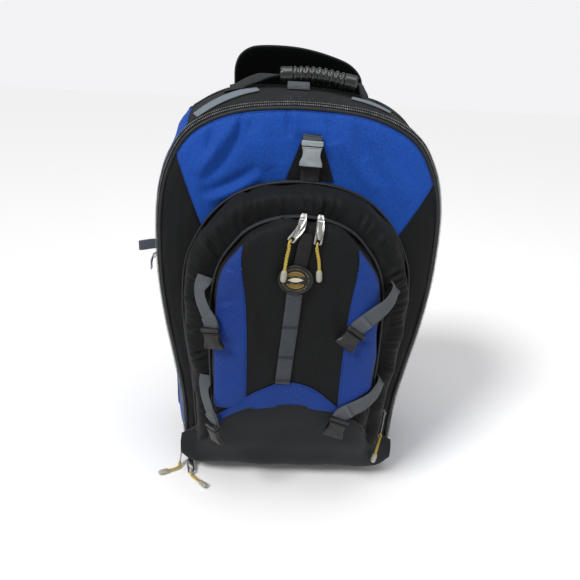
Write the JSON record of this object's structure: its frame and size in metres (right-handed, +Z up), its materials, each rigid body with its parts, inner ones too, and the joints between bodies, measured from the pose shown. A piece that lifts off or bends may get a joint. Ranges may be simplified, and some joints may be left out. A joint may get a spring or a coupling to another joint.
{
  "type": "wheeled backpack",
  "caption": "Wheeled travel backpack with a domed zipped body, stacked arched front pockets, compression straps, haul handle, pull-up trolley grip and wheels.",
  "frame": {"origin": "middle of the underside of the stand bar, on the floor", "axes": "+Z up, +Y towards the back pad and the wheels, +X to the right seen from the front"},
  "size_m": [0.4223, 0.3512, 0.6018],
  "materials": {
    "blue_cloth": "woven, slightly shiny",
    "black_cloth": "woven, matt",
    "charcoal_cloth": "coated cloth, matt",
    "zip_tape": "coil zip and piping",
    "black_plastic": "moulded, satin",
    "grey_webbing": "ribbed webbing",
    "black_webbing": "ribbed webbing",
    "grey_plastic": "moulded, satin",
    "zinc_pull": "cast, satin",
    "tube_alloy": "anodised",
    "yellow_cord": "twisted cord with moulded tip",
    "black_rubber": "moulded, matt"
  },
  "bodies": {
    "bag": {"gusset_left": "blue_cloth", "gusset_right": "blue_cloth", "front_panel_top": "blue_cloth", "pocket_smile": "blue_cloth", "pocket_strip_left": "blue_cloth", "pocket_strip_right": "blue_cloth", "front_panel_sides": "black_cloth", "big_pocket": "black_cloth", "small_pocket": "black_cloth", "back_panel": "black_cloth", "back_pad": "black_cloth", "trolley_flap": "black_cloth", "top_patch": "black_cloth", "shoulder_strap_left": "black_cloth", "shoulder_strap_right": "black_cloth", "gusset_top": "charcoal_cloth", "base_panel": "charcoal_cloth", "main_zip": "zip_tape", "big_pocket_zip": "zip_tape", "small_pocket_zip": "zip_tape", "base_tray": "black_plastic", "trolley_bezel": "black_plastic", "buckle_upper_left": "black_plastic", "buckle_upper_right": "black_plastic", "buckle_lower_left": "black_plastic", "buckle_lower_right": "black_plastic", "side_tab": "grey_webbing", "daisy_chain": "grey_webbing", "top_loop": "grey_webbing", "top_strip_left": "grey_webbing", "top_strip_right": "grey_webbing", "strap_upper_left": "grey_webbing", "strap_upper_right": "grey_webbing", "strap_lower_left": "grey_webbing", "strap_lower_right": "grey_webbing", "haul_webbing": "black_webbing", "top_strap": "black_webbing", "badge_strap": "black_webbing", "shoulder_tail_left": "black_webbing", "shoulder_tail_right": "black_webbing", "top_buckle": "grey_plastic", "side_slider": "zinc_pull", "pull_centre_left": "zinc_pull", "pull_centre_right": "zinc_pull", "pull_right": "zinc_pull", "pull_corner": "zinc_pull", "pull_bottom": "zinc_pull", "trolley_tube_left": "tube_alloy", "trolley_tube_right": "tube_alloy", "cord_centre_left": "yellow_cord", "cord_centre_right": "yellow_cord", "cord_right": "yellow_cord", "cord_corner": "yellow_cord", "cord_bottom": "yellow_cord", "stand_bar": "black_rubber", "haul_grip": "black_rubber", "badge": "black_rubber"},
    "wheel_left": {"wheel_left": "black_rubber"},
    "wheel_right": {"wheel_right": "black_rubber"},
    "trolley": {"trolley_handle": "black_plastic"}
  },
  "joints": [
    {"name": "wheel_left_spin", "type": "hinge", "parent": "bag", "child": "wheel_left", "pos_m": [-0.138, 0.1, 0.033], "axis": [1, 0, 0], "continuous": true},
    {"name": "wheel_right_spin", "type": "hinge", "parent": "bag", "child": "wheel_right", "pos_m": [0.138, 0.1, 0.033], "axis": [1, 0, 0], "continuous": true},
    {"name": "trolley_slide", "type": "slide", "parent": "bag", "child": "trolley", "axis": [0, 0, 1], "range_m": [0, 0.38]}
  ]
}
